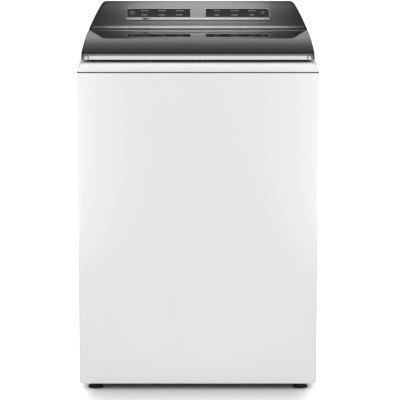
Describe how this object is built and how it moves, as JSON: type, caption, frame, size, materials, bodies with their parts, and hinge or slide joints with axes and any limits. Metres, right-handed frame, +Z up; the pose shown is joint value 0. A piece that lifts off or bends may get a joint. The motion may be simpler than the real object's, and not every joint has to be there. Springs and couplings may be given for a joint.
{
  "type": "top load washing machine",
  "caption": "White top load washing machine with a dark glass lid and sloped console, hung tub, perforated basket, wash plate, belt drive and drain pump.",
  "frame": {"origin": "centre of the footprint, on the floor", "axes": "+Z up, front faces -Y, +X to the right of a person facing the front"},
  "size_m": [0.692, 0.71, 1.0838],
  "materials": {
    "white_enamel": "white gloss enamel",
    "white_plastic": "white gloss moulding",
    "dark_metallic": "dark metallic satin gloss",
    "tinted_glass": "dark tinted polished glass",
    "dark_plastic": "dark satin plastic",
    "silver_trim": "satin chrome",
    "display_lens": "black gloss lens",
    "galvanised_steel": "zinc-coated sheet",
    "stainless_steel": "brushed stainless",
    "bright_steel": "plated steel",
    "cast_aluminium": "die-cast",
    "tub_plastic": "grey-white moulding",
    "wash_plastic": "grey moulding",
    "ring_plastic": "grey moulding",
    "natural_nylon": "natural nylon",
    "black_rubber": "matt rubber",
    "black_plastic": "matt plastic",
    "circuit_board": "solder-masked board",
    "motor_black": "black paint"
  },
  "bodies": {
    "cabinet": {"cabinet_shell": "white_enamel", "base_rails": "galvanised_steel", "rear_panel": "galvanised_steel", "corner_brackets": "galvanised_steel", "rear_screws": "bright_steel", "foot_lock_nuts": "bright_steel", "top_cover": "white_plastic", "lid_lock_housing": "black_plastic", "dispenser_housing": "white_plastic", "console_fascia": "dark_metallic", "console_rear_cover": "galvanised_steel", "display_bezel": "silver_trim", "display_windows": "display_lens", "control_board": "circuit_board", "wiring_harness": "black_rubber", "cord_gland": "black_plastic", "inlet_valves": "natural_nylon", "fill_hoses": "black_rubber", "drain_outlet": "black_plastic", "drain_hose": "black_rubber", "suspension_rods": "bright_steel", "suspension_end_caps": "natural_nylon", "suspension_springs": "bright_steel"},
    "foot_front_left": {"foot_front_left": "black_rubber"},
    "foot_front_right": {"foot_front_right": "black_rubber"},
    "foot_rear_left": {"foot_rear_left": "black_rubber"},
    "foot_rear_right": {"foot_rear_right": "black_rubber"},
    "lid": {"lid_glass": "tinted_glass", "lid_frame": "dark_plastic", "lid_front_trim": "silver_trim", "lid_hinges": "bright_steel", "lid_strike": "bright_steel", "lid_bumpers": "black_rubber"},
    "lid_lock_bolt": {"lid_lock_bolt": "bright_steel"},
    "dispenser_drawer": {"dispenser_drawer": "wash_plastic"},
    "tub": {"outer_tub": "tub_plastic", "tub_ring": "tub_plastic", "tub_bearings": "bright_steel", "tub_seal": "black_rubber", "drive_bracket": "galvanised_steel", "clutch_housing": "cast_aluminium", "motor_housing": "motor_black", "drive_belt": "black_rubber", "shift_actuator": "natural_nylon", "drain_pump": "black_plastic", "sump_hose": "black_rubber", "suspension_cups": "natural_nylon"},
    "basket": {"basket": "stainless_steel", "basket_hub": "cast_aluminium", "balance_ring": "ring_plastic", "spin_tube": "bright_steel"},
    "wash_plate": {"wash_plate": "wash_plastic", "wash_plate_cap": "ring_plastic", "drive_shaft": "bright_steel", "drive_pulley": "cast_aluminium"},
    "motor_rotor": {"motor_rotor": "bright_steel", "motor_pulley": "cast_aluminium"},
    "shift_slider": {"shift_slider": "black_plastic"},
    "pump_impeller": {"pump_impeller": "natural_nylon"}
  },
  "joints": [
    {"name": "lid_hinge", "type": "hinge", "parent": "cabinet", "child": "lid", "pos_m": [0, 0.115, 1.00016], "axis": [-1, 0, 0], "range_deg": [0, 92]},
    {"name": "lid_lock_slide", "type": "slide", "parent": "cabinet", "child": "lid_lock_bolt", "axis": [-1, 0, 0], "range_m": [0, 0.009]},
    {"name": "dispenser_drawer_slide", "type": "slide", "parent": "cabinet", "child": "dispenser_drawer", "axis": [0, -1, 0], "range_m": [0, 0.09]},
    {"name": "tub_travel", "type": "slide", "parent": "cabinet", "child": "tub", "axis": [0, 0, 1], "range_m": [-0.03, 0.01], "stiffness_N_per_m": 16000, "springref_m": 0.0237, "deforming": ["suspension_springs", "drain_hose"]},
    {"name": "basket_spin", "type": "hinge", "parent": "tub", "child": "basket", "pos_m": [0, -0.0095, 0.3], "axis": [0, 0, 1], "continuous": true},
    {"name": "wash_plate_spin", "type": "hinge", "parent": "tub", "child": "wash_plate", "pos_m": [0, -0.0095, 0.3], "axis": [0, 0, 1], "continuous": true},
    {"name": "motor_spin", "type": "hinge", "parent": "tub", "child": "motor_rotor", "pos_m": [0.16, -0.0095, 0.2], "axis": [0, 0, 1], "continuous": true},
    {"name": "clutch_shift", "type": "slide", "parent": "tub", "child": "shift_slider", "axis": [0, 0, 1], "range_m": [0, 0.006]},
    {"name": "pump_spin", "type": "hinge", "parent": "tub", "child": "pump_impeller", "pos_m": [-0.125, -0.1345, 0.13], "axis": [0, 0, 1], "continuous": true},
    {"name": "foot_front_left_turn", "type": "hinge", "parent": "cabinet", "child": "foot_front_left", "pos_m": [-0.3, -0.314, 0.01], "axis": [0, 0, 1], "continuous": true},
    {"name": "foot_front_right_turn", "type": "hinge", "parent": "cabinet", "child": "foot_front_right", "pos_m": [0.3, -0.314, 0.01], "axis": [0, 0, 1], "continuous": true},
    {"name": "foot_rear_left_turn", "type": "hinge", "parent": "cabinet", "child": "foot_rear_left", "pos_m": [-0.3, 0.295, 0.01], "axis": [0, 0, 1], "continuous": true},
    {"name": "foot_rear_right_turn", "type": "hinge", "parent": "cabinet", "child": "foot_rear_right", "pos_m": [0.3, 0.295, 0.01], "axis": [0, 0, 1], "continuous": true}
  ],
  "couplings": [
    {"joint": "wash_plate_spin", "follows": "motor_spin", "ratio": 0.27778}
  ]
}
